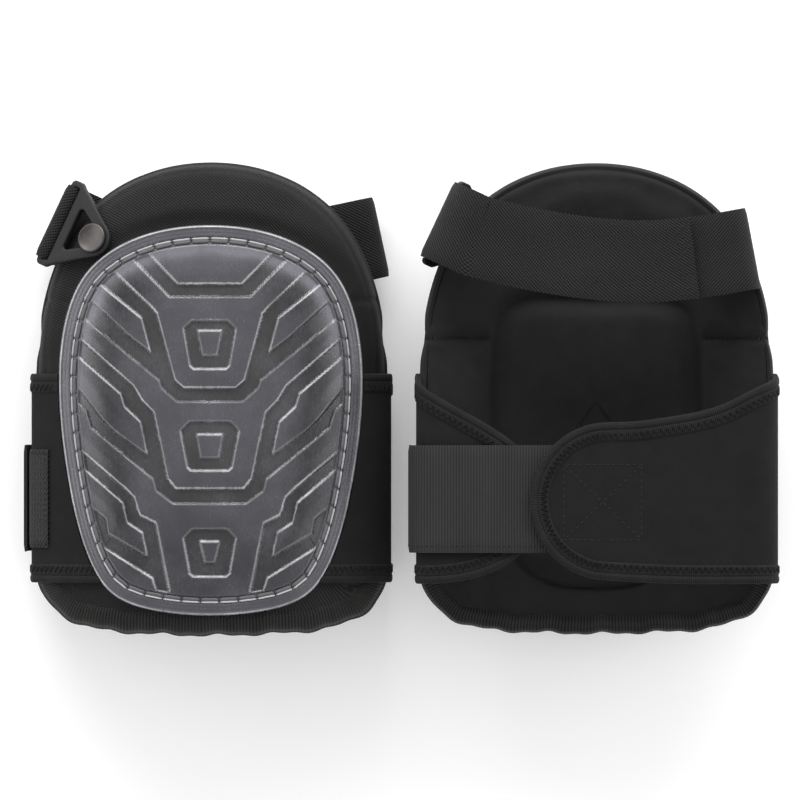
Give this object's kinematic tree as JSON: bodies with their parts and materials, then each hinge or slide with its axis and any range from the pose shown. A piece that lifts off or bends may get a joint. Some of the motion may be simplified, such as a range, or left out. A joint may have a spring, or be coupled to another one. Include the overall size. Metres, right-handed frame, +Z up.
{
  "type": "knee pads",
  "caption": "Pair of strap-on gel knee pads: clear moulded caps on curved padded bodies, wrap-round wings, elastic straps, stud and hook buckles.",
  "frame": {"origin": "middle of the pair's footprint, on the surface that it lies on", "axes": "+X from the right-leg pad to the left-leg pad, +Y up the leg, +Z up out of the surface; the right-leg pad lies cap up and the left-leg pad cap down"},
  "size_m": [0.3524, 0.2188, 0.072],
  "materials": {
    "clear_pvc": "gloss",
    "thread": "matte",
    "cover_fabric": "matte",
    "foam": "matte",
    "gel": "satin",
    "neoprene": "matte",
    "ribbed_tape": "matte",
    "elastic_binding": "matte",
    "hook_tape": "satin",
    "grey_elastic": "matte",
    "black_webbing": "matte",
    "buckle_plastic": "satin",
    "stud_metal": "satin"
  },
  "bodies": {
    "right_pad_body": {"right_cap": "clear_pvc", "right_cap_stitching": "thread", "right_front_cover": "cover_fabric", "right_foam_core": "foam", "right_gel_core": "gel", "right_liner": "neoprene", "right_bottom_binding": "ribbed_tape", "right_big_wing": "neoprene", "right_big_wing_binding": "elastic_binding", "right_small_wing": "neoprene", "right_small_wing_binding": "elastic_binding", "right_hook_patch": "hook_tape", "right_upper_strap_anchor": "black_webbing", "right_upper_strap": "black_webbing", "right_upper_strap_return": "black_webbing", "right_stud_head": "stud_metal", "right_stud_post": "stud_metal", "right_stud_washer": "stud_metal"},
    "right_buckle_body": {"right_buckle": "buckle_plastic", "right_upper_strap_loop": "black_webbing"},
    "right_tail_body": {"right_upper_strap_tail": "black_webbing", "right_hook_tab": "hook_tape"},
    "right_lower_strap_body": {"right_big_flap": "neoprene", "right_big_flap_binding": "elastic_binding", "right_flap_stitching": "thread", "right_lower_strap": "grey_elastic"},
    "right_strap_end_body": {"right_lower_strap_end": "grey_elastic"},
    "right_small_flap_body": {"right_small_flap": "neoprene", "right_small_flap_binding": "elastic_binding"},
    "left_pad_body": {"left_cap": "clear_pvc", "left_cap_stitching": "thread", "left_front_cover": "cover_fabric", "left_foam_core": "foam", "left_gel_core": "gel", "left_liner": "neoprene", "left_bottom_binding": "ribbed_tape", "left_big_wing": "neoprene", "left_big_wing_binding": "elastic_binding", "left_small_wing": "neoprene", "left_small_wing_binding": "elastic_binding", "left_hook_patch": "hook_tape", "left_upper_strap_anchor": "black_webbing", "left_upper_strap": "black_webbing", "left_upper_strap_return": "black_webbing", "left_stud_head": "stud_metal", "left_stud_post": "stud_metal", "left_stud_washer": "stud_metal"},
    "left_buckle_body": {"left_buckle": "buckle_plastic", "left_upper_strap_loop": "black_webbing"},
    "left_tail_body": {"left_upper_strap_tail": "black_webbing", "left_hook_tab": "hook_tape"},
    "left_lower_strap_body": {"left_big_flap": "neoprene", "left_big_flap_binding": "elastic_binding", "left_flap_stitching": "thread", "left_lower_strap": "grey_elastic"},
    "left_strap_end_body": {"left_lower_strap_end": "grey_elastic"},
    "left_small_flap_body": {"left_small_flap": "neoprene", "left_small_flap_binding": "elastic_binding"}
  },
  "joints": [
    {"name": "left_pad_apart", "type": "slide", "parent": "right_pad_body", "child": "left_pad_body", "axis": [1, 0, 0], "range_m": [0, 0.2]},
    {"name": "right_buckle_turn", "type": "hinge", "parent": "right_pad_body", "child": "right_buckle_body", "pos_m": [-0.1415, 0.0746, 0.05111], "axis": [-0.4286, 0.1999, 0.8811], "range_deg": [-8, 8]},
    {"name": "right_tail_peel", "type": "hinge", "parent": "right_pad_body", "child": "right_tail_body", "pos_m": [-0.14288, 0.07507, 0], "axis": [0.2107, 0.9776, 0], "range_deg": [0, 100]},
    {"name": "right_lower_strap_open", "type": "hinge", "parent": "right_pad_body", "child": "right_lower_strap_body", "pos_m": [-0.0038, -0.046, 0.014], "axis": [0, -1, 0], "range_deg": [0, 105]},
    {"name": "right_strap_end_peel", "type": "hinge", "parent": "right_lower_strap_body", "child": "right_strap_end_body", "pos_m": [-0.1762, -0.046, 0.01285], "axis": [0, -1, 0], "range_deg": [0, 85]},
    {"name": "right_small_flap_open", "type": "hinge", "parent": "right_pad_body", "child": "right_small_flap_body", "pos_m": [-0.1728, -0.046, 0.014], "axis": [0, 1, 0], "range_deg": [0, 45]},
    {"name": "left_buckle_turn", "type": "hinge", "parent": "left_pad_body", "child": "left_buckle_body", "pos_m": [0.0385, 0.0746, 0.02089], "axis": [0.4286, -0.1999, 0.8811], "range_deg": [-8, 8]},
    {"name": "left_tail_peel", "type": "hinge", "parent": "left_pad_body", "child": "left_tail_body", "pos_m": [0.03712, 0.07507, 0.072], "axis": [-0.2107, -0.9776, 0], "range_deg": [0, 100]},
    {"name": "left_lower_strap_open", "type": "hinge", "parent": "left_pad_body", "child": "left_lower_strap_body", "pos_m": [0.1762, -0.046, 0.058], "axis": [0, 1, 0], "range_deg": [0, 105]},
    {"name": "left_strap_end_peel", "type": "hinge", "parent": "left_lower_strap_body", "child": "left_strap_end_body", "pos_m": [0.0038, -0.046, 0.05915], "axis": [0, 1, 0], "range_deg": [0, 85]},
    {"name": "left_small_flap_open", "type": "hinge", "parent": "left_pad_body", "child": "left_small_flap_body", "pos_m": [0.0072, -0.046, 0.058], "axis": [0, -1, 0], "range_deg": [0, 45]}
  ],
  "couplings": [
    {"joint": "right_small_flap_open", "follows": "right_lower_strap_open", "ratio": 0.4},
    {"joint": "left_small_flap_open", "follows": "left_lower_strap_open", "ratio": 0.4}
  ]
}
